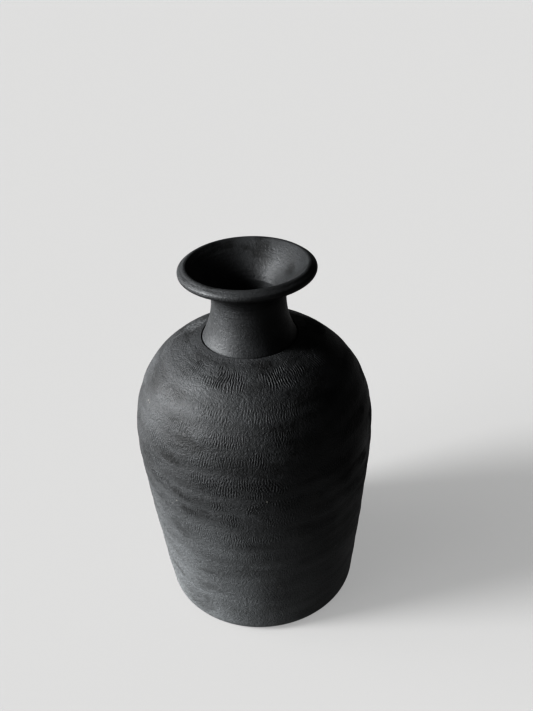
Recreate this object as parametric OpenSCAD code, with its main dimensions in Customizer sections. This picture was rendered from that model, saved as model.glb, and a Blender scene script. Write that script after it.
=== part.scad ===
// Black clay pot, raised by hand in courses on a turning plate.
// The origin is at the middle of the circle that the foot rests on, +Z is up, and sizes are in mm.
// Each piece is one piece of clay as the potter lays it: a floor pat, rings of wall luted one above
// the other on bevelled faces, and a neck, mouth and lip added last. The outline of the body is a
// tapered wall below the belly and a rounded dome above it, and every course is cut out of that wall.

/* [Body] */
// Radius of the body at the belly
belly_r = 80; // [70:1:90]
// Height of the belly above the foot
belly_z = 132.6; // [125:0.1:136]
// Radius that the wall runs down to at the foot, before the heel is rounded
foot_r = 68.2; // [64:0.1:70]
// Height that the dome would rise above the belly if it closed
dome_h = 78; // [76:0.5:82]
// Wall thickness
wall_t = 6.5; // [5:0.5:8]
// Radius of the rounded heel
heel_round = 7; // [4:0.5:8]
// How far each course swells between its joints
swell = 0.25; // [0.1:0.05:0.6]
// How far a bevelled joint rises from the outside to the inside of the wall
bevel = 3; // [1:0.5:4]

/* [Floor] */
// Thickness of the floor pat
floor_t = 8; // [6:0.5:10]
// Depth of the shallow hollow under the floor
hollow_d = 1.5; // [0.5:0.5:3]
// Outer radius of that hollow, where the resting ring starts
hollow_r = 50; // [44:1:52]
// Leg of the coil pressed into the corner between floor and wall
floor_coil = 7; // [4:0.5:8]

/* [Neck] */
// Radius of the seam where the neck stands on the shoulder
seam_r = 31.1; // [30:0.1:33]
// Width of the open groove at that seam
groove_w = 0.9; // [0.4:0.1:1.4]
// Depth of the groove
groove_d = 0.9; // [0.4:0.1:1.4]
// Outer radius of the spigot that drops into the shoulder ring
spigot_r = 28.2; // [27:0.1:29]
// How far the spigot stands out below the inside of the shoulder
spigot_d = 3; // [2:0.5:4]
// Radius of the neck at its waist
waist_r = 23.9; // [22:0.1:25]
// Height of the waist above the foot
waist_z = 233; // [230:0.5:236]
// Radius of the throat
throat_r = 17; // [15:0.5:18]
// Length of the straight stretch of the throat
throat_l = 12; // [8:1:14]
// Inner radius of the neck at the bottom of the spigot
spigot_in_r = 23.4; // [22:0.1:24]

/* [Mouth] */
// Height where the flare is luted to the neck
flare_z = 239; // [237:0.5:241]
// Radius at which the rolled bead of the lip is centred
bead_r = 40.95; // [40.5:0.05:41.5]
// Height of the bead's centre
bead_z = 253.55; // [253:0.05:254]
// Radius of the bead's section
bead_round = 2.45; // [2.3:0.05:2.6]
// How far in from the bead the crest of the lip sits
crest_in = 2.25; // [2.1:0.05:2.4]
// How far the centre of the crest's curve sits above the bead's centre
crest_up = 1.75; // [1.6:0.05:1.9]
// Radius of the crest's curve
crest_round = 2.3; // [2.2:0.05:2.4]
// Radius of the lip's inner edge, where the funnel starts
lip_in_r = 34.4; // [34:0.1:35]
// Height of that inner edge
lip_in_z = 255.1; // [255:0.05:255.4]
// Radius of the flare where it meets the lip from below
lip_under_r = 38.4; // [38:0.1:38.8]
// Height of that meeting
lip_under_z = 250; // [249.5:0.1:250.5]
// Depth of the tongue that keys the lip to the flare
tongue_d = 1.8; // [1:0.1:2.2]

/* [Hidden] */
$fn = 96;
clay = "#2b2d2e";
clay_joint = "#3a3c3e";

wall_joints = [18, 37, 58, 73, 88, 108, 123, 136, 154]; // joints of the heel and wall courses
shoulder_joints = [154, 169, 180, 193];                 // joints of the shoulder courses
taper_bend = 1.22;   // how the wall leans in towards the foot
dome_bend = 2.5;     // how flat the dome leaves the belly
dome_corner = 2.4;   // how full the dome's shoulder is
waist_bend = 2;      // how the neck draws in from the seam to its waist
flare_bend = 2.2;    // how the neck opens from its waist to the lip
funnel_bend = 1.7;   // how the funnel opens from the throat to the lip
steps = 4;           // straight stretches along each face of a course
ring_steps = 6;      // the same on the shoulder ring
heel_steps = 5;      // the same round the heel
neck_steps = 8;      // the same up the neck, from the seam to its waist
flare_steps = 5;     // the same along the flare
bead_steps = 9;      // the same round the lip's bead
crest_steps = 5;     // the same over the lip's crest
coil_steps = 4;      // the same across the coil in the floor's corner
step_z = 0.1;        // small rise used to measure the slope of the wall
rest_w = 5;          // width of the floor pat's bevelled joint, outwards from the ring it rests on
hollow_rise = 2;     // width of the slope between the hollow and the resting ring
heel_straight = [10, 14]; // heights on the straight stretch of the heel course
ring_lap = 6;        // width of the slope under the shoulder ring that the neck's coil covers
tongue_from = 0.32;  // where the tongue starts along the lip's joint, as a share of it
tongue_to = 0.68;    // where it ends
bead_arc = [-95, 55];   // angles between which the lip follows its bead
crest_arc = [60, 130];  // angles between which it follows its crest

// Outer radius of the plain wall at height z
function wall_r(z) = z < belly_z
    ? belly_r - (belly_r - foot_r) * pow((belly_z - z) / belly_z, taper_bend)
    : belly_r * pow(1 - pow((z - belly_z) / dome_h, dome_bend), 1 / dome_corner);

// Height at which the dome has narrowed to radius r
function dome_z(r) = belly_z + dome_h * pow(1 - pow(r / belly_r, dome_corner), 1 / dome_bend);

// Point on the inside of the wall, square through the wall from height z on its outside
function inside(z) =
    let (slope = (wall_r(z + step_z) - wall_r(z - step_z)) / (2 * step_z), k = wall_t / norm([1, slope]))
    [wall_r(z) - k, z + k * slope];

// Outer and inner faces of the course between heights a and b
function outer_face(a, b, n) = [for (i = [0:n])
    [wall_r(a + (b - a) * i / n) + swell * sin(180 * i / n), a + (b - a) * i / n]];
function inner_face(a, b, n) = [for (i = [n:-1:0]) inside(a + (b - a) * i / n + bevel)];

// Points along an arc of radius r about c, from angle a to angle b in n stretches
function arc(c, r, a, b, n) = [for (i = [0:n]) let (t = a + (b - a) * i / n) c + r * [cos(t), sin(t)]];

floor_corner = [inside(floor_t)[0], floor_t];
floor_edge_r = floor_corner[0] - rest_w;
coil_wall_z = floor_t + floor_coil;
heel_c = [wall_r(heel_round) - heel_round, heel_round];

seam_z = dome_z(seam_r);
ledge_z = seam_z - groove_d;
ring_in = inside(dome_z(seam_r + ring_lap));
spigot_top_z = inside(dome_z(seam_r))[1];
spigot_bottom_z = spigot_top_z - spigot_d;
throat_top_z = waist_z - 1;
throat_bottom_z = throat_top_z - throat_l;

crest_c = [bead_r - crest_in, bead_z + crest_up];
lip_in = [lip_in_r, lip_in_z];
lip_under = [lip_under_r, lip_under_z];
lip_line = (lip_in - lip_under) / norm(lip_in - lip_under);
lip_out = [lip_line[1], -lip_line[0]];

// Outer radius of the neck at height z, below and above its waist
function neck_r(z) = z < waist_z
    ? waist_r + (seam_r - groove_w / 2 - waist_r) * pow((waist_z - z) / (waist_z - seam_z), waist_bend)
    : waist_r + (lip_under_r - waist_r) * pow((z - waist_z) / (lip_under_z - waist_z), flare_bend);

// Inner radius of the mouth above the throat
function funnel_r(z) =
    throat_r + (lip_in_r - throat_r) * pow((z - throat_top_z) / (lip_in_z - throat_top_z), funnel_bend);

// Joint faces: neck to flare, and the tongue that keys the lip on
flare_joint = [[neck_r(flare_z), flare_z], [funnel_r(flare_z + bevel), flare_z + bevel]];
lip_tongue = [for (t = [[tongue_from, 0], [tongue_from, 1], [tongue_to, 1], [tongue_to, 0]])
    lip_under + (lip_in - lip_under) * t[0] + lip_out * tongue_d * t[1]];

module turned(points, tone = clay) {
    color(tone) rotate_extrude() polygon(points);
}

module floor_pat() {
    turned([[0, hollow_d], [hollow_r, hollow_d], [hollow_r + hollow_rise, 0], [floor_edge_r, 0],
            floor_corner, [0, floor_t]]);
}

module heel_course() {
    top = wall_joints[0];
    turned(concat(
        [[floor_edge_r, 0]],
        arc(heel_c, heel_round, -90, -5, heel_steps),
        [for (z = concat(heel_straight, top)) [wall_r(z), z]],
        [inside(top + bevel), inside(coil_wall_z), floor_corner]));
}

// A plain ring of wall between heights a and b, with a bevelled joint at each end
module course(a, b) {
    turned(concat(outer_face(a, b, steps), inner_face(a, b, steps)));
}

module wall_course(i) course(wall_joints[i - 1], wall_joints[i]);

module shoulder_course(i) course(shoulder_joints[i - 1], shoulder_joints[i]);

// The last ring closes the shoulder to the hole that takes the neck's spigot
module shoulder_ring() {
    low = shoulder_joints[len(shoulder_joints) - 1];
    edge_r = seam_r + groove_w / 2;
    edge_z = dome_z(edge_r);
    turned(concat(
        outer_face(low, edge_z, ring_steps),
        [[seam_r, ledge_z], [spigot_r, ledge_z], [spigot_r, spigot_top_z], ring_in],
        [for (z = [low + 2 * bevel, low + bevel]) inside(z)]));
}

// A coil of clay pressed into the corner between the floor and the heel course
module floor_seam_coil() {
    wall_end = inside(coil_wall_z);
    floor_end = [floor_corner[0] - floor_coil, floor_t];
    hollow_c = [floor_end[0], coil_wall_z];
    turned(concat(
        [floor_corner, wall_end],
        [for (i = [1:coil_steps - 1]) let (a = -90 * i / coil_steps)
            hollow_c + floor_coil * [cos(a), sin(a)]],
        [floor_end]), clay_joint);
}

module neck_collar() {
    turned(concat(
        [[spigot_in_r, spigot_bottom_z], [spigot_r, spigot_bottom_z], [spigot_r, ledge_z],
         [seam_r, ledge_z]],
        [for (i = [0:neck_steps]) let (z = seam_z + (waist_z - seam_z) * i / neck_steps) [neck_r(z), z]],
        [[neck_r(waist_z + bevel), waist_z + bevel]],
        flare_joint,
        [for (z = [flare_z, flare_z - bevel]) [funnel_r(z), z]],
        [[throat_r, throat_top_z], [throat_r, throat_bottom_z]]));
}

// A coil of clay pressed into the corner under the neck's joint, inside the shoulder
module neck_seam_coil() {
    turned([[spigot_r, spigot_bottom_z], ring_in, [spigot_r, spigot_top_z]], clay_joint);
}

module mouth_flare() {
    joint_z = flare_z + bevel;
    turned(concat(
        [for (i = [0:flare_steps]) let (z = flare_z + (lip_under_z - flare_z) * i / flare_steps)
            [neck_r(z), z]],
        lip_tongue,
        [for (i = [flare_steps:-1:0]) let (z = joint_z + (lip_in_z - joint_z) * i / flare_steps)
            [funnel_r(z), z]]));
}

module lip_roll() {
    turned(concat(
        [lip_under],
        arc([bead_r, bead_z], bead_round, bead_arc[0], bead_arc[1], bead_steps),
        arc(crest_c, crest_round, crest_arc[0], crest_arc[1], crest_steps),
        [lip_in],
        [for (i = [3:-1:0]) lip_tongue[i]]));
}

floor_pat();
heel_course();
for (i = [1:len(wall_joints) - 1])
    wall_course(i);
for (i = [1:len(shoulder_joints) - 1])
    shoulder_course(i);
shoulder_ring();
floor_seam_coil();
neck_collar();
neck_seam_coil();
mouth_flare();
lip_roll();
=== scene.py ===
"""Looks for the black clay pot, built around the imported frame.

Every visible piece is a closed ring of clay turned about the Z axis. Its section comes from the CAD
node that it replaces: smooth lines are drawn through the frame's own section points, and the skin is
then worked over as the potter leaves it, with turning ridges, chatter from the trimming tool and the
slow wobble of the hand. All sizes are in metres.
"""
import math

import bpy
import numpy as np
from mathutils import Matrix, Vector


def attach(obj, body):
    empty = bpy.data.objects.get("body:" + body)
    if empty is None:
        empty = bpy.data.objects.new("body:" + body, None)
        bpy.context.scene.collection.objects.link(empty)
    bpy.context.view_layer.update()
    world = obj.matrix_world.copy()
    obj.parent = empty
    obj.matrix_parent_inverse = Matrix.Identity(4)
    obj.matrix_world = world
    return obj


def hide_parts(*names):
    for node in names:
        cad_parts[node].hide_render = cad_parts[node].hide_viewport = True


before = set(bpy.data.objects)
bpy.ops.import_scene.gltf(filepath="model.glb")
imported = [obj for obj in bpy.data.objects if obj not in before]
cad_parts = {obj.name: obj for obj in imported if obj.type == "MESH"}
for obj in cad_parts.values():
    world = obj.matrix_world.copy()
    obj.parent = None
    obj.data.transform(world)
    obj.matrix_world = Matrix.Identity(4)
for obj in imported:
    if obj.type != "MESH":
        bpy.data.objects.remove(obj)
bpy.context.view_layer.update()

MM = 0.001
SAME_POINT = 0.03 * MM   # section points closer than this are one point

WALL = ["wall_course_%d" % i for i in range(1, 9)]
SHOULDER = ["shoulder_course_%d" % i for i in range(1, 4)]
BODY = ["heel_course"] + WALL + SHOULDER + ["shoulder_ring"]

BODY_TURNS = 1800        # vertices around the body, fine enough for the chatter
RING_TURNS = 1600        # and around the shoulder ring, which is narrower and has more rows
NECK_TURNS = 640         # vertices around the smooth neck, mouth and lip
FLOOR_TURNS = 360        # vertices around the floor and the hidden coils
BODY_STEP = 0.7 * MM     # spacing of the rows up the body's skin
NECK_STEP = 0.6 * MM
INSIDE_STEP = 3.5 * MM
LIP_STEP = 0.35 * MM
HUB_R = 1.0 * MM         # the discs' middle, closed by a fan
EDGE_STEP = 0.25 * MM    # first and last row of a skin, so that its shading stops at the joint
SHARP_ANGLE = 38         # edges sharper than this, in degrees, aren't shaded smooth
PLAIN_RUB = 0.3          # how rubbed the hidden faces are
LOOK_BACK = 12           # how many sorted points are searched for one in the same place


# --- Sections read from the frame ---------------------------------------------------------------

def section(node):
    """Every distinct (radius, height) point of a CAD node's section."""
    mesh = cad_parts[node].data
    flat = np.empty(len(mesh.vertices) * 3)
    mesh.vertices.foreach_get("co", flat)
    place = flat.reshape(-1, 3)
    points = np.stack([np.hypot(place[:, 0], place[:, 1]), place[:, 2]], 1)
    kept = []
    for point in points[np.lexsort((points[:, 1], points[:, 0]))]:
        if not any(np.linalg.norm(point - other) < SAME_POINT for other in kept[-LOOK_BACK:]):
            kept.append(point)
    return np.array(kept)


SECTION = {node: section(node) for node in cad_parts}


def shared(first, second):
    """Section points that two nodes share, from the inside of the wall to the outside."""
    near = [p for p in SECTION[first]
            if (np.linalg.norm(SECTION[second] - p, axis=1) < SAME_POINT).any()]
    return np.array(sorted(near, key=lambda p: (p[0], p[1])))


def own(node, neighbours):
    """Section points of a node that it shares with none of its neighbours."""
    return np.array([p for p in SECTION[node]
                     if not any((np.linalg.norm(SECTION[n] - p, axis=1) < SAME_POINT).any()
                                for n in neighbours)])


def around(points, centre, start):
    """Points in order of their angle about a centre, counter-clockwise from the point start."""
    first = math.atan2(start[1] - centre[1], start[0] - centre[0])
    turn = (np.arctan2(points[:, 1] - centre[1], points[:, 0] - centre[0]) - first) % (2 * math.pi)
    return points[np.argsort(turn)]


class Line:
    """A smooth line (Hermite) through section points, sampled between any two of them."""

    def __init__(self, *runs):
        self.points = np.vstack([np.atleast_2d(r) for r in runs if len(r)])
        gaps = np.linalg.norm(np.diff(self.points, axis=0), axis=1)
        self.at = np.concatenate([[0.0], np.cumsum(gaps)])
        self.slope = np.gradient(self.points, self.at, axis=0)

    def where(self, point):
        return self.at[np.linalg.norm(self.points - point, axis=1).argmin()]

    def sample(self, start, end, step):
        """Rows between two points: (radius, height), outward normal, and length along the line."""
        a, b = self.where(start), self.where(end)
        count = max(2, int(round((b - a) / step)))
        t = np.linspace(a, b, count + 1)
        if b - a > 4 * EDGE_STEP and step > 2 * EDGE_STEP:
            t = np.concatenate([t[:1], [a + EDGE_STEP], t[1:-1], [b - EDGE_STEP], t[-1:]])
        i = np.clip(np.searchsorted(self.at, t, side="right") - 1, 0, len(self.at) - 2)
        gap = (self.at[i + 1] - self.at[i])[:, None]
        u = (t - self.at[i])[:, None] / gap
        p, q = self.points[i], self.points[i + 1]
        m, n = self.slope[i] * gap, self.slope[i + 1] * gap
        place = ((2 * u**3 - 3 * u**2 + 1) * p + (u**3 - 2 * u**2 + u) * m
                 + (3 * u**2 - 2 * u**3) * q + (u**3 - u**2) * n)
        pace = ((6 * u**2 - 6 * u) * (p - q) + (3 * u**2 - 4 * u + 1) * m + (3 * u**2 - 2 * u) * n)
        pace /= np.linalg.norm(pace, axis=1)[:, None]
        return place, np.stack([pace[:, 1], -pace[:, 0]], 1), t


# --- The hand of the potter: relief on the skin --------------------------------------------------

def drift(theta, length, seed, turns, per_metre, count=10):
    """Slow seeded waves, mostly between -1 and 1, that close on themselves around the pot."""
    rng = np.random.default_rng(seed)
    total = 0.0
    for _ in range(count):
        around_pot = rng.integers(-turns, turns + 1)
        up = 2 * math.pi * rng.normal(0, per_metre)
        total = total + np.cos(around_pot * theta + up * length + rng.uniform(0, 2 * math.pi))
    return total * math.sqrt(1.4 / count)


def ripple(waves, theta, length):
    """The sum of several drifts, each given as its height and then what drift() takes."""
    return sum(height * drift(theta, length, *how) for height, *how in waves)


def smooth(value, low, high):
    """0 below low, 1 above high, and an even curve between them."""
    t = np.clip((value - low) / (high - low), 0, 1)
    return t * t * (3 - 2 * t)


# Height, seed, most turns around the pot, spread of waves per metre upwards, and number of waves
BODY_WAVES = [(0.15 * MM, 3, 3, 9), (0.055 * MM, 5, 2, 60, 14), (0.022 * MM, 7, 3, 190, 16),
              (0.016 * MM, 11, 60, 45, 24)]
NECK_WAVES = [(0.10 * MM, 21, 2, 12), (0.018 * MM, 23, 2, 260, 14)]
MEAN_RUB, RUB_SPREAD = 0.5, 0.2
BODY_RUB = (9, 12, 30)
NECK_RUB = (25, 9, 30)
FOOT_FLAT = 6 * MM           # the relief fades out below this, so that the foot stands flat
BODY_SEED = 40

CHATTER_PITCH = 1.55 * MM    # spacing of the chatter marks
PITCH_SPREAD = 0.12
CHATTER_WAVES = 22
CHATTER_DEPTH = 0.19 * MM
# How much lighter the chatter's crests and darker its grooves are painted, as highlight and shade; the
# crests are also made glossier.
CHATTER_HIGHLIGHT_AND_SHADE = 0.30
CHATTER_BEND = 1.6
BAND_WANDER = 0.10           # how far a row of chatter wanders up and down, as a share of its course
BAND_CORE = 0.65             # share of the row's half-height at full strength
JOINT_FADE = 0.04            # chatter dies away this close to a joint, as a share of the course
PATCH_CORE, PATCH_END = 0.6, 1.15     # where a patch starts to fade and is gone, in half-widths
PATCH_EDGE = 4               # how ragged a patch's edge is, in degrees
LOOSE_LOW, LOOSE_HIGH = -0.9, 0.35    # the same for courses without patches of their own
# On each course: how strong the chatter is, how much of the height it fills, and how far its lines
# stray from upright, in degrees
CHATTER = {"shoulder_ring": (1.0, 0.62, 10), "shoulder_course_3": (0.5, 0.65, 22),
           "shoulder_course_2": (0.78, 0.75, 26), "shoulder_course_1": (0.8, 0.8, 26),
           "wall_course_8": (1.0, 0.95, 26), "wall_course_7": (1.0, 0.95, 34),
           "wall_course_6": (0.8, 0.9, 24), "wall_course_5": (0.55, 0.7, 16),
           "wall_course_4": (0.4, 0.6, 14), "wall_course_3": (0.2, 0.5, 12)}

# Where the chatter of a course gathers: azimuth and half-width of each patch, in degrees
PATCHES = {"shoulder_ring": [(-113, 16), (-66, 13), (-141, 5), (-25, 15), (18, 16), (63, 14),
                             (108, 18), (150, 15)],
           "shoulder_course_3": [(-144, 8), (-109, 7), (-94, 4), (-77, 11), (-10, 17), (35, 20),
                                 (84, 14), (125, 22), (176, 12)],
           "shoulder_course_2": [(-129, 8), (-106, 13), (-75, 6), (-50, 7), (0, 14), (42, 12),
                                 (85, 16), (130, 13), (170, 15)],
           "shoulder_course_1": [(-144, 11), (-112, 12), (-88, 7), (-40, 14), (5, 12), (50, 16),
                                 (95, 10), (140, 15)],
           "wall_course_8": [(-145, 9), (-110, 12), (-91, 12), (-50, 12), (-5, 16), (40, 12),
                             (90, 15), (135, 14), (175, 12)]}


def gathered(node, theta, length, seed):
    """How much of the chatter shows at each point, from 0 to 1."""
    if node not in PATCHES:
        return smooth(drift(theta, length, seed + 100, 24, 30), LOOSE_LOW, LOOSE_HIGH)
    edge = PATCH_EDGE * drift(theta, length, seed + 300, 16, 60)
    total = 0.0
    for azimuth, width in PATCHES[node]:
        away = np.abs((np.degrees(theta) - azimuth + 180) % 360 - 180)
        total = total + 1 - smooth(away + edge, width * PATCH_CORE, width * PATCH_END)
    return np.clip(total, 0, 1)


def chatter(theta, length, radius, seed, stray):
    """Ripples of one pitch, mostly upright, which drift, fork and die away as real chatter does."""
    rng = np.random.default_rng(seed)
    bend = CHATTER_BEND * drift(theta, length, seed + 1, 22, 45)
    total = 0.0
    for _ in range(CHATTER_WAVES):
        lean = math.radians(stray) * rng.normal()
        pitch = CHATTER_PITCH * (1 + PITCH_SPREAD * rng.normal())
        turns = round(2 * math.pi * radius / pitch * math.cos(lean))
        up = 2 * math.pi / pitch * math.sin(lean)
        total = total + np.cos(turns * theta + up * length + bend + rng.uniform(0, 2 * math.pi))
    return np.tanh(total * math.sqrt(2 / CHATTER_WAVES))     # no ripple stands far above the rest


def body_relief(node, theta, length, place):
    """How far the body's skin stands out from its smooth line, and how rubbed each point is; on the
    chatter this value also paints the crests lighter as highlight and the grooves darker as shade.
    """
    seed = BODY_SEED + BODY.index(node)
    out = ripple(BODY_WAVES, theta, length)
    rub_and_highlight = MEAN_RUB + RUB_SPREAD * drift(theta, length, *BODY_RUB)
    if node in CHATTER:
        strength, share, stray = CHATTER[node]
        span = (length - length[0]) / (length[-1] - length[0])
        wander = span + BAND_WANDER * drift(theta, length, seed + 200, 9, 5)
        band = 1 - smooth(np.abs(wander - 0.5) * 2, share * BAND_CORE, share)
        band = band * smooth(0.5 - np.abs(span - 0.5), 0, JOINT_FADE)
        patches = gathered(node, theta, length, seed)
        marks = chatter(theta, length, place[:, 0].mean(), seed, stray)
        amount = strength * band * patches
        out = out + CHATTER_DEPTH * amount * marks
        # The chatter paints its crests lighter, as highlight, and its grooves darker, as shade.
        rub_and_highlight = rub_and_highlight + CHATTER_HIGHLIGHT_AND_SHADE * amount * marks
    flat = np.clip(place[:, 1:2] / FOOT_FLAT, 0, 1)
    return out * flat, np.clip(rub_and_highlight, 0, 1)


def neck_relief(theta, length, place):
    """Faint throwing lines and the slow wobble of the neck, mouth and lip."""
    rub_and_highlight = MEAN_RUB + RUB_SPREAD * drift(theta, length, *NECK_RUB)
    return ripple(NECK_WAVES, theta, length), np.clip(rub_and_highlight, 0, 1)


SEAM_Z = 205 * MM        # above the seam the neck leans, and its rim is not quite level
RIM_Z = 250 * MM
NECK_LEAN = 0.7 * MM
RIM_TILT = 0.018
GROOVE_MORE = 0.9 * MM   # the seam's groove is cut this much deeper than the CAD model's


# --- Meshes --------------------------------------------------------------------------------------

def row_quads(count, turns, closed):
    """Quads between neighbouring rows, and from the last row back to the first if closed."""
    i = np.arange(count if closed else count - 1)[:, None]
    j = np.arange(turns)[None, :]
    a, d = i * turns, (i + 1) % count * turns
    after = (j + 1) % turns
    return np.stack([a + j, a + after, d + after, d + j], -1).reshape(-1, 4)


def face_mesh(name, points, groups, rub_and_highlight, material):
    """A mesh from points and groups of faces, each group an array with one face per row."""
    mesh = bpy.data.meshes.new(name)
    sides = np.concatenate([np.full(len(g), g.shape[1]) for g in groups])
    loops = np.concatenate([g.ravel() for g in groups])
    mesh.vertices.add(len(points))
    mesh.vertices.foreach_set("co", np.ascontiguousarray(points, np.float32).ravel())
    mesh.loops.add(len(loops))
    mesh.loops.foreach_set("vertex_index", loops.astype(np.int32))
    mesh.polygons.add(len(sides))
    mesh.polygons.foreach_set("loop_start", (np.cumsum(sides) - sides).astype(np.int32))
    mesh.update(calc_edges=True)
    mesh.validate()
    mesh.shade_smooth()
    mesh.set_sharp_from_angle(angle=math.radians(SHARP_ANGLE))
    worn_and_lit = mesh.attributes.new("rub_and_highlight", "FLOAT", "POINT")
    worn_and_lit.data.foreach_set("value", np.ascontiguousarray(rub_and_highlight, np.float32).ravel())
    mesh.materials.append(material)
    piece = bpy.data.objects.new(name, mesh)
    bpy.context.scene.collection.objects.link(piece)
    return piece


def turned(profile, offset, normal, turns):
    """Rows of points around the axis for a section whose skin is pushed out by offset."""
    theta = np.arange(turns) * 2 * math.pi / turns
    radius = profile[:, :1] + normal[:, :1] * offset
    height = np.maximum(profile[:, 1:] + normal[:, 1:] * offset, 0)
    x, y = radius * np.cos(theta), radius * np.sin(theta)
    lean = smooth(height, SEAM_Z, RIM_Z)
    return np.stack([x + NECK_LEAN * lean, y, height - RIM_TILT * y * lean], -1)


def between(corners):
    """Points on the straight faces through a run of corners, without its first and last corner."""
    run = []
    for start, end in zip(corners, corners[1:]):
        count = max(1, int(np.linalg.norm(end - start) / INSIDE_STEP))
        share = np.linspace(0, 1, count + 1)[:-1, None]
        run += list(start + (end - start) * share)
    return np.array(run[1:]).reshape(-1, 2)


def section_rows(parts, turns):
    """Rows of points, and how rubbed each is, with the chatter's painted highlight and shade, for a
    section given part by part, counter-clockwise.

    A part is ("skin", line, start, end, step, relief) for a worked surface, or
    ("face", corner, corner, ...) for straight faces from the end of one skin to the start of the next.
    """
    theta = (np.arange(turns) * 2 * math.pi / turns)[None, :]
    profile, offset, normal, rub_and_highlight = [], [], [], []
    for part in parts:
        if part[0] == "skin":
            _, line, start, end, step, relief = part
            place, out_way, length = line.sample(start, end, step)
            out, worn_and_lit = relief(theta, length[:, None], place)
        else:
            place = between(part[1:])
            out_way = np.zeros_like(place)
            out, worn_and_lit = np.zeros((len(place), 1)), np.full((len(place), 1), PLAIN_RUB)
        profile.append(place)
        normal.append(out_way)
        offset.append(np.broadcast_to(out, (len(place), turns)))
        rub_and_highlight.append(np.broadcast_to(worn_and_lit, (len(place), turns)))
    return turned(np.vstack(profile), np.vstack(offset), np.vstack(normal), turns), np.vstack(rub_and_highlight)


def declare(piece, node):
    """The piece is hung under the root body, and the CAD node that it stands for is hidden."""
    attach(piece, "root")
    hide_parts(node)


def ring_piece(node, parts, turns, slot):
    """A ring of clay that stands for a CAD node."""
    rows, rub_and_highlight = section_rows(parts, turns)
    quads = row_quads(len(rows), turns, True)
    piece = face_mesh(node + "_clay", rows.reshape(-1, 3), [quads], rub_and_highlight, CLAY[slot])
    declare(piece, node)


def disc_piece(node, parts, turns, slot):
    """A solid disc: rows from the axis outside below to the axis inside above, closed by two fans."""
    rows, rub_and_highlight = section_rows(parts, turns)
    count = len(rows)
    points = rows.reshape(-1, 3)
    poles = np.array([[0, 0, rows[0, :, 2].mean()], [0, 0, rows[-1, :, 2].mean()]])
    j = np.arange(turns)
    after = (j + 1) % turns
    last = (count - 1) * turns
    below = np.stack([np.full(turns, len(points)), after, j], -1)
    above = np.stack([np.full(turns, len(points) + 1), last + j, last + after], -1)
    rub_and_highlight = np.concatenate([rub_and_highlight.ravel(), [PLAIN_RUB, PLAIN_RUB]])
    piece = face_mesh(node + "_clay", np.vstack([points, poles]),
                      [row_quads(count, turns, False), below, above], rub_and_highlight, CLAY[slot])
    declare(piece, node)


# --- Materials -----------------------------------------------------------------------------------

class Nodes:
    """A short way to lay out a shader: an input is given as a value or as another node's socket."""

    def __init__(self, name):
        self.material = bpy.data.materials.new(name)
        self.material.use_nodes = True
        self.tree = self.material.node_tree
        self.shader = self.tree.nodes["Principled BSDF"]

    def put(self, socket, value):
        """Link a socket to another, or set its value."""
        if isinstance(value, bpy.types.NodeSocket):
            self.tree.links.new(value, socket)
        else:
            socket.default_value = value

    def add(self, kind, output=0, settings=None, **inputs):
        """A node's output. An input is named, or is i0, i1, i2 by its place."""
        node = self.tree.nodes.new(kind)
        for key, value in (settings or {}).items():
            setattr(node, key, value)
        for key, value in inputs.items():
            self.put(node.inputs[int(key[1:]) if key[0] == "i" and key[1:].isdigit() else key], value)
        return node.outputs[output]

    def maths(self, operation, first, second=0.0, third=0.0):
        return self.add("ShaderNodeMath", settings={"operation": operation},
                        i0=first, i1=second, i2=third)

    def noise(self, place, scale, detail=3.0, rough=0.55):
        return self.add("ShaderNodeTexNoise", Vector=place, Scale=scale, Detail=detail, Roughness=rough)

    def stretch(self, place, x, y, z):
        return self.add("ShaderNodeMapping", Vector=place, Scale=(x, y, z))

    def span(self, value, low, high, start=0.0, end=1.0):
        return self.add("ShaderNodeMapRange", Value=value, **{
            "From Min": low, "From Max": high, "To Min": start, "To Max": end})

    def mix(self, share, first, second):
        node = self.tree.nodes.new("ShaderNodeMix")
        node.data_type = "RGBA"
        self.put(node.inputs["Factor"], share)
        self.put(node.inputs[6], first)
        self.put(node.inputs[7], second)
        return node.outputs[2]

    def bump(self, height, distance, under=None):
        node = self.tree.nodes.new("ShaderNodeBump")
        node.inputs["Strength"].default_value = 1.0
        node.inputs["Distance"].default_value = distance
        self.put(node.inputs["Height"], height)
        if under is not None:
            self.put(node.inputs["Normal"], under)
        return node.outputs[0]


SPECULAR = 0.15
# Sizes of the noises, in features per metre, along x, y and z where those differ
CLOUDS, MOTTLE, GRIT, FINE, PITS = 22.0, 150.0, 480.0, 1050.0, 420.0
STREAKS = (14.0, 14.0, 420.0)         # close turning lines around the pot
WIPES = (260.0, 260.0, 30.0)          # upright strokes
SMUDGES = (30.0, 30.0, 62.0)
SPECKS, SPECK_GROUPS = 120.0, 31.0
# Where in its noise each mark begins and is full
# The first of these ranges places painted glints of light, small lit specks taken from the fine noise.
PAINTED_GLINT_RANGE, SMUDGE_RANGE, TONE_RANGE = (0.60, 0.72), (0.56, 0.63), (0.48, 1.10)
SPECK_RANGE, GROUP_RANGE, PIT_RANGE = (0.04, 0.07), (0.66, 0.68), (0.10, 0.28)
CLOUD_REACH = 40 * MM    # how far the clouds and the mottle shift the edge of the paler foot, partly grey dust and partly painted light bounced up from the floor
MOTTLE_REACH = 25 * MM


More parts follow.
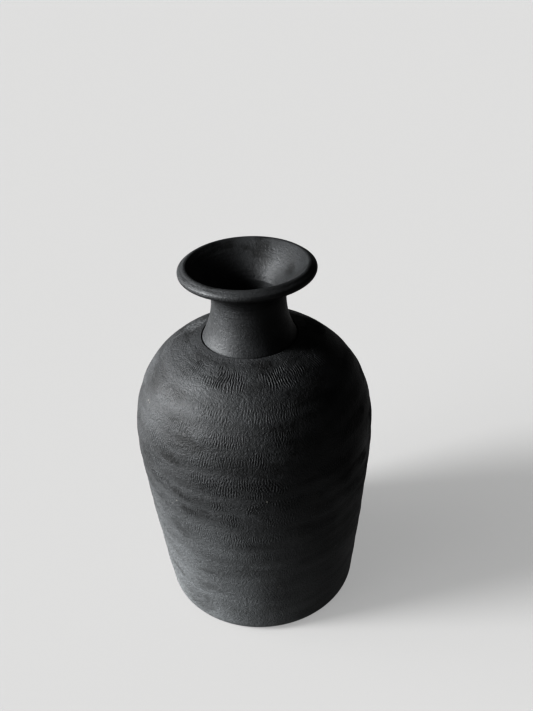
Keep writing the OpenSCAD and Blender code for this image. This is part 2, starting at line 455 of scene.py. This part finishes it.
def smoked_clay(name, dark, light, rough, grain, lines):
    """Smoke-blackened clay: cloudy graphite colour, rubbed high spots, the chatter's painted crest
    highlights and groove shade, painted glints of light, a paler foot of grey dust and painted floor
    bounce, grain, pits and turning lines.

    grain and lines are the depths of the grain and of the turning lines, in metres.
    """
    n = Nodes(name)
    place = n.add("ShaderNodeTexCoord", output="Object")
    rub_and_highlight = n.add("ShaderNodeAttribute", output=2, settings={"attribute_name": "rub_and_highlight"})
    clouds = n.noise(place, CLOUDS, 4.0)
    mottle = n.noise(place, MOTTLE, 4.0, 0.6)
    streaks = n.noise(n.stretch(place, *STREAKS), 1.0, 3.0, 0.6)
    wiped = n.noise(n.stretch(place, *WIPES), 1.0, 2.0, 0.5)
    grit = n.noise(place, GRIT, 3.0, 0.7)
    fine = n.noise(place, FINE, 2.0, 0.65)
    # Painted glints: the peaks of the fine noise lighten the colour as small glints of light.
    painted_glint = n.span(fine, *PAINTED_GLINT_RANGE)
    smudge = n.span(n.noise(n.stretch(place, *SMUDGES), 1.0, 5.0, 0.62), *SMUDGE_RANGE)

    tone = n.maths("MULTIPLY_ADD", clouds, 0.40, n.maths("MULTIPLY", mottle, 0.30))
    # The rub value also carries the chatter's painted crest highlights and groove shade, and the glint
    # term paints small glints of light.
    for part, share in ((rub_and_highlight, 0.40), (streaks, 0.18), (wiped, 0.10), (grit, 0.25), (smudge, -0.30),
                        (painted_glint, 0.30)):
        tone = n.maths("MULTIPLY_ADD", part, share, tone)
    colour = n.mix(n.span(tone, *TONE_RANGE), dark, light)
    upright = n.add("ShaderNodeSeparateXYZ", output="Z", Vector=place)
    edge = n.maths("MULTIPLY_ADD", clouds, CLOUD_REACH, upright)
    edge = n.maths("MULTIPLY_ADD", mottle, MOTTLE_REACH, edge)
    # The wall pales towards the foot: partly grey dust, partly painted light bounced up from the floor.
    colour = n.mix(n.span(edge, PALE_TOP, PALE_FOOT), colour, n.mix(tone, FOOT_DUST_AND_BOUNCE_DARK, FOOT_DUST_AND_BOUNCE))
    speck = n.add("ShaderNodeTexVoronoi", Vector=place, Scale=SPECKS, Randomness=1.0)
    dot = n.span(speck, *SPECK_RANGE, 1.0, 0.0)
    group = n.span(n.noise(place, SPECK_GROUPS, 1.0), *GROUP_RANGE)
    colour = n.mix(n.maths("MULTIPLY", dot, group), colour, SPECK)
    n.put(n.shader.inputs["Base Color"], colour)

    roughness = n.maths("MULTIPLY_ADD", mottle, 0.18, rough - 0.09)
    roughness = n.maths("MULTIPLY_ADD", rub_and_highlight, -0.12, n.maths("ADD", roughness, 0.06))
    roughness = n.maths("MULTIPLY_ADD", smudge, -0.07, roughness)
    n.put(n.shader.inputs["Roughness"], n.maths("MULTIPLY_ADD", fine, 0.10, roughness))
    n.shader.inputs["Specular IOR Level"].default_value = SPECULAR

    pits = n.add("ShaderNodeTexVoronoi", Vector=place, Scale=PITS, Randomness=1.0)
    relief = n.bump(streaks, lines)
    relief = n.bump(grit, grain * 1.6, relief)
    relief = n.bump(n.span(pits, *PIT_RANGE), grain * 0.3, relief)
    n.put(n.shader.inputs["Normal"], n.bump(fine, grain, relief))
    return n.material


PALE_TOP = 180 * MM      # the wall turns paler from here down, partly grey dust and partly painted light bounced up from the floor
PALE_FOOT = 25 * MM      # to here, where the wall is greyest
# Colours of the paler foot, partly grey dust and partly painted floor bounce.
FOOT_DUST_AND_BOUNCE_DARK = (0.022, 0.0225, 0.0225, 1)
FOOT_DUST_AND_BOUNCE = (0.064, 0.066, 0.067, 1)
SPECK = (0.13, 0.125, 0.11, 1)
CLAY = {
    "body_clay": smoked_clay("body_clay", (0.0095, 0.0095, 0.0095, 1), (0.026, 0.0265, 0.027, 1),
                             0.53, 0.36 * MM, 0.05 * MM),
    "neck_clay": smoked_clay("neck_clay", (0.009, 0.009, 0.009, 1), (0.022, 0.0225, 0.023, 1),
                             0.48, 0.16 * MM, 0.08 * MM),
    "joint_clay": smoked_clay("joint_clay", (0.014, 0.014, 0.014, 1), (0.034, 0.034, 0.034, 1),
                              0.72, 0.10 * MM, 0.02 * MM),
}


# --- Lines of the section ------------------------------------------------------------------------

def sides(node, near, low, high):
    """A node's own outer and inner points, upwards, parted midway between its two ends' corners."""
    free = own(node, near)
    start, end = (low[0] + low[1]) / 2, (high[0] + high[1]) / 2
    way = (end - start) / np.linalg.norm(end - start)
    across = (free - start) @ np.array([way[1], -way[0]])
    free, across = free[np.argsort(free @ way)], across[np.argsort(free @ way)]
    return free[across > 0], free[across < 0]


def joint_ends(lower, upper):
    """Inside and outside corner of the joint between two courses."""
    joint = shared(lower, upper)
    return joint[0], joint[-1]


foot_corner, floor_corner = joint_ends("floor_pat", "heel_course")
joints = [joint_ends(a, b) for a, b in zip(BODY, BODY[1:])]
spigot_top, ledge_in, ledge = shared("shoulder_ring", "neck_collar")[[0, -2, -1]]
ledge = ledge - np.array([0, GROOVE_MORE])
ring_in = shared("shoulder_ring", "neck_seam_coil")[-1]
ring_edge = max(own("shoulder_ring", ["neck_collar"]), key=lambda p: p[1])
ends = [(floor_corner, foot_corner)] + joints + [(ring_in, ring_edge)]


def body_lines():
    """The body's outside upwards and its inside downwards, through every course's own points."""
    up, down = [foot_corner], [floor_corner]
    for index, node in enumerate(BODY):
        near = [BODY[k] for k in (index - 1, index + 1) if 0 <= k < len(BODY)]
        near += ["floor_pat", "floor_seam_coil", "neck_collar", "neck_seam_coil"]
        outer, inner = sides(node, near, ends[index], ends[index + 1])
        outer = [p for p in outer if np.linalg.norm(p - ends[index + 1][1]) > SAME_POINT]
        up += [*outer, ends[index + 1][1]]
        down += [*inner, ends[index + 1][0]]
    return Line(np.array(up)), Line(np.array(down[::-1]))


outside, inside = body_lines()

neck_foot = min((p for p in own("neck_collar", ["shoulder_ring"]) if p[1] > ledge[1]),
                key=lambda p: np.linalg.norm(p - ledge))
spigot_in = min(own("neck_collar", ["neck_seam_coil"]), key=lambda p: p[1])
spigot_out = shared("neck_collar", "neck_seam_coil")[0]
neck_in, neck_out = joint_ends("neck_collar", "mouth_flare")
lip_joint = shared("mouth_flare", "lip_roll")
lip_under = min(lip_joint, key=lambda p: p[1])
lip_in = max(lip_joint, key=lambda p: p[1])
tongue = np.array([p for p in lip_joint if p[1] not in (lip_under[1], lip_in[1])])
tongue = around(tongue, tongue.mean(0), min(tongue, key=lambda p: np.linalg.norm(p - lip_under)))


def mouth_line():
    """From the foot of the neck up its outside, over the lip, down the funnel and the throat."""
    free = own("neck_collar", ["shoulder_ring", "neck_seam_coil", "mouth_flare"])
    free = free[np.linalg.norm(free - neck_foot, axis=1) > SAME_POINT]
    split = (spigot_in + spigot_out) / 2, (neck_in * 2 + neck_out) / 3
    way = (split[1] - split[0]) / np.linalg.norm(split[1] - split[0])
    across = (free - split[0]) @ np.array([way[1], -way[0]])
    outer = sorted(free[across > 0], key=lambda p: p[1])
    inner = sorted(free[across < 0], key=lambda p: -p[1])
    flare_out, flare_in = sides("mouth_flare", ["neck_collar", "lip_roll"], (neck_in, neck_out),
                                (lip_in, lip_under))
    lip = own("lip_roll", ["mouth_flare"])
    lip = around(lip, (lip.min(0) + lip.max(0)) / 2, lip_under)
    return Line([neck_foot], outer, [neck_out], flare_out, [lip_under], lip, [lip_in],
                flare_in[::-1], [neck_in], inner)


mouth = mouth_line()


# --- Pieces --------------------------------------------------------------------------------------

FINGER_PITCH, FINGER_DEPTH, FINGER_WANDER, FINGER_RUB = 17 * MM, 0.2 * MM, 0.6, 0.25
TOOL_PITCH, TOOL_DEPTH, TOOL_WANDER, TOOL_RUB = 2.3 * MM, 0.07 * MM, 0.7, 0.35
THUMB_DENTS, THUMB_DEPTH = 42, 0.3 * MM


def finger_ridges(theta, length, place):
    """The inside of the wall keeps the broad ridges of the fingers that pulled it."""
    wander = FINGER_WANDER * drift(theta, length, 31, 2, 6)
    ridges = FINGER_DEPTH * np.sin(2 * math.pi * length / FINGER_PITCH + wander)
    return ridges, np.full((len(place), 1), FINGER_RUB)


def turned_under(theta, length, place):
    """The underside keeps the close rings of the turning tool."""
    wander = TOOL_WANDER * drift(theta, length, 33, 2, 3)
    rings = np.sin(2 * math.pi * place[:, :1] / TOOL_PITCH + wander)
    return TOOL_DEPTH * rings, np.clip(TOOL_RUB + RUB_SPREAD * rings, 0, 1)


def pressed(theta, length, place):
    """A coil thumbed into a corner is dented all the way round."""
    dents = np.cos(THUMB_DENTS * theta + drift(theta, length, 35, 3, 5))
    return THUMB_DEPTH * (dents - 1), np.full((len(place), 1), PLAIN_RUB)


def build_body():
    """The courses of the wall and shoulder, from the heel up."""
    for index, node in enumerate(BODY):
        def relief(theta, length, place, node=node):
            return body_relief(node, theta, length, place)
        low_in, low_out = ends[index]
        high_in, high_out = ends[index + 1]
        top = [ledge, ledge_in, spigot_top] if node == "shoulder_ring" else []
        ring_piece(node, [("skin", outside, low_out, high_out, BODY_STEP, relief),
                          ("face", high_out, *top, high_in),
                          ("skin", inside, high_in, low_in, INSIDE_STEP, finger_ridges),
                          ("face", low_in, low_out)],
                   RING_TURNS if node == "shoulder_ring" else BODY_TURNS, "body_clay")


def build_neck():
    """The neck, the flare of the mouth and the lip."""
    ring_piece("neck_collar", [("skin", mouth, neck_foot, neck_out, NECK_STEP, neck_relief),
                               ("face", neck_out, neck_in),
                               ("skin", mouth, neck_in, spigot_in, NECK_STEP, neck_relief),
                               ("face", spigot_in, spigot_out, ledge_in, ledge, neck_foot)],
               NECK_TURNS, "neck_clay")
    ring_piece("mouth_flare", [("skin", mouth, neck_out, lip_under, NECK_STEP, neck_relief),
                               ("face", lip_under, *tongue, lip_in),
                               ("skin", mouth, lip_in, neck_in, NECK_STEP, neck_relief),
                               ("face", neck_in, neck_out)], NECK_TURNS, "neck_clay")
    ring_piece("lip_roll", [("skin", mouth, lip_under, lip_in, LIP_STEP, neck_relief),
                            ("face", lip_in, *tongue[::-1], lip_under)], NECK_TURNS, "neck_clay")


def build_coils():
    """The coils thumbed into the corners where the floor meets the heel and the neck meets the ring."""
    corner = SECTION["floor_seam_coil"]
    wall_top = max(corner, key=lambda p: p[1])
    floor_end = min(corner, key=lambda p: p[0])
    hollow = sorted((p for p in corner if p[0] not in (floor_corner[0], floor_end[0])
                     and p[1] != wall_top[1] and p[1] > floor_corner[1] + SAME_POINT),
                    key=lambda p: -p[1])
    curve = Line([wall_top], hollow, [floor_end])
    ring_piece("floor_seam_coil", [("skin", curve, wall_top, floor_end, NECK_STEP, pressed),
                                   ("face", floor_end, floor_corner, wall_top)], FLOOR_TURNS, "joint_clay")
    slope = Line([spigot_out], [ring_in])
    ring_piece("neck_seam_coil", [("skin", slope, spigot_out, ring_in, NECK_STEP, pressed),
                                  ("face", ring_in, spigot_top, spigot_out)], FLOOR_TURNS, "joint_clay")


def build_floor_pat():
    """The disc that the pot stands on, with its hollow underneath."""
    hollow_edge = max(own("floor_pat", ["heel_course"]), key=lambda p: p[1])
    tread = min((p for p in SECTION["floor_pat"] if p[1] == 0), key=lambda p: p[0])
    under = Line([[HUB_R, hollow_edge[1]]], [hollow_edge], [tread], [foot_corner])
    over = Line([floor_corner], [[HUB_R, floor_corner[1]]])
    disc_piece("floor_pat", [("skin", under, under.points[0], under.points[1], NECK_STEP, turned_under),
                             ("face", under.points[1], tread, foot_corner, floor_corner),
                             ("skin", over, over.points[0], over.points[-1], NECK_STEP, finger_ridges)],
               FLOOR_TURNS, "body_clay")


build_body()
build_neck()
build_coils()
build_floor_pat()


# --- Floor, light and camera ---------------------------------------------------------------------

def add_floor():
    """A plain pale floor. Its own glow keeps it as even as a large studio floor."""
    mesh = bpy.data.meshes.new("floor")
    half = FLOOR_HALF
    mesh.from_pydata([(-half, -half, 0), (half, -half, 0), (half, half, 0), (-half, half, 0)], [],
                     [(0, 1, 2, 3)])
    n = Nodes("floor")
    n.shader.inputs["Base Color"].default_value = FLOOR_COLOUR
    n.shader.inputs["Roughness"].default_value = 1.0
    n.shader.inputs["Specular IOR Level"].default_value = 0.0
    n.shader.inputs["Emission Color"].default_value = (1, 1, 1, 1)
    n.shader.inputs["Emission Strength"].default_value = FLOOR_GLOW
    mesh.materials.append(n.material)
    floor = bpy.data.objects.new("floor", mesh)
    bpy.context.scene.collection.objects.link(floor)


def add_window():
    """One large soft light, far off to the left."""
    lamp = bpy.data.lights.new("window", "SUN")
    lamp.energy = WINDOW_POWER
    lamp.angle = math.radians(WINDOW_WIDTH)
    lamp.color = WINDOW_COLOUR
    light = bpy.data.objects.new("window", lamp)
    a, e = math.radians(WINDOW_AZIMUTH), math.radians(WINDOW_ELEVATION)
    away = Vector((math.cos(a) * math.cos(e), math.sin(a) * math.cos(e), math.sin(e)))
    light.rotation_euler = away.to_track_quat("Z", "Y").to_euler()
    bpy.context.scene.collection.objects.link(light)


def add_room():
    """A pale room, dim but for the window's wall and the ceiling."""
    world = bpy.data.worlds.new("room")
    world.use_nodes = True
    tree = world.node_tree
    shader = tree.nodes["Background"]
    where = tree.nodes.new("ShaderNodeTexCoord")
    light = None
    for way, start, strength in ROOM_GLOWS:
        toward = tree.nodes.new("ShaderNodeVectorMath")
        toward.operation = "DOT_PRODUCT"
        toward.inputs[1].default_value = Vector(way).normalized()
        tree.links.new(where.outputs["Generated"], toward.inputs[0])
        glow = tree.nodes.new("ShaderNodeMapRange")
        glow.interpolation_type = "SMOOTHSTEP"
        tree.links.new(toward.outputs["Value"], glow.inputs["Value"])
        glow.inputs["From Min"].default_value = start
        glow.inputs["To Max"].default_value = strength
        total = tree.nodes.new("ShaderNodeMath")
        total.operation = "ADD"
        total.inputs[1].default_value = ROOM_DARK
        if light:
            tree.links.new(light, total.inputs[1])
        tree.links.new(glow.outputs["Result"], total.inputs[0])
        light = total.outputs["Value"]
    ray = tree.nodes.new("ShaderNodeLightPath")
    seen = tree.nodes.new("ShaderNodeMix")
    seen.inputs["B"].default_value = ROOM_SEEN
    tree.links.new(ray.outputs["Is Camera Ray"], seen.inputs["Factor"])
    tree.links.new(light, seen.inputs["A"])
    tree.links.new(seen.outputs["Result"], shader.inputs["Strength"])
    shader.inputs["Color"].default_value = ROOM_COLOUR
    bpy.context.scene.world = world


def add_camera():
    """The camera above and in front of the pot, turned by its pitch, roll and yaw."""
    pitch, roll, yaw = CAMERA_PITCH, CAMERA_ROLL, CAMERA_YAW
    ahead = Vector((math.sin(yaw) * math.cos(pitch), math.cos(yaw) * math.cos(pitch), -math.sin(pitch)))
    right = Vector((math.cos(yaw), -math.sin(yaw), 0))
    up = right.cross(ahead)
    side = right * math.cos(roll) + up * math.sin(roll)
    top = up * math.cos(roll) - right * math.sin(roll)
    camera = bpy.data.objects.new("camera", bpy.data.cameras.new("camera"))
    turn = Matrix((side, top, -ahead)).transposed().to_4x4()
    camera.matrix_world = Matrix.Translation(CAMERA_PLACE) @ turn
    camera.data.lens = LENS
    camera.data.clip_start, camera.data.clip_end = CLIP
    bpy.context.scene.collection.objects.link(camera)
    bpy.context.scene.camera = camera


FLOOR_HALF = 40.0        # metres from the middle to each side
FLOOR_COLOUR = (0.0855, 0.0835, 0.082, 1)
FLOOR_GLOW = 0.265
WINDOW_POWER = 9.5
WINDOW_WIDTH = 16        # how wide the window looks from the pot, in degrees
WINDOW_COLOUR = (0.985, 1.0, 1.015)
WINDOW_AZIMUTH = 187.5
WINDOW_ELEVATION = 29
# Glows of the room: where each is centred, the cosine at which it starts, and its strength
ROOM_GLOWS = [((-1.0, -0.15, -0.1), 0.6, 17.0), ((0, 0, 1), 0.5, 0.6)]
ROOM_COLOUR = (0.985, 1.0, 1.01, 1)
ROOM_DARK = 0.01         # strength away from the glows
ROOM_SEEN = 0.45         # strength of the plain backdrop that the camera sees
LOOK = "Very High Contrast"

CAMERA_PLACE = Vector((0.0, -0.4435766, 0.4728254))
CAMERA_PITCH = 0.569520506
CAMERA_ROLL = -0.0450981851
CAMERA_YAW = 0.0228595376
LENS = 40.506
CLIP = (0.01, 100)

add_floor()
add_window()
add_room()
add_camera()
bpy.context.scene.view_settings.view_transform = "Standard"
bpy.context.scene.view_settings.look = LOOK
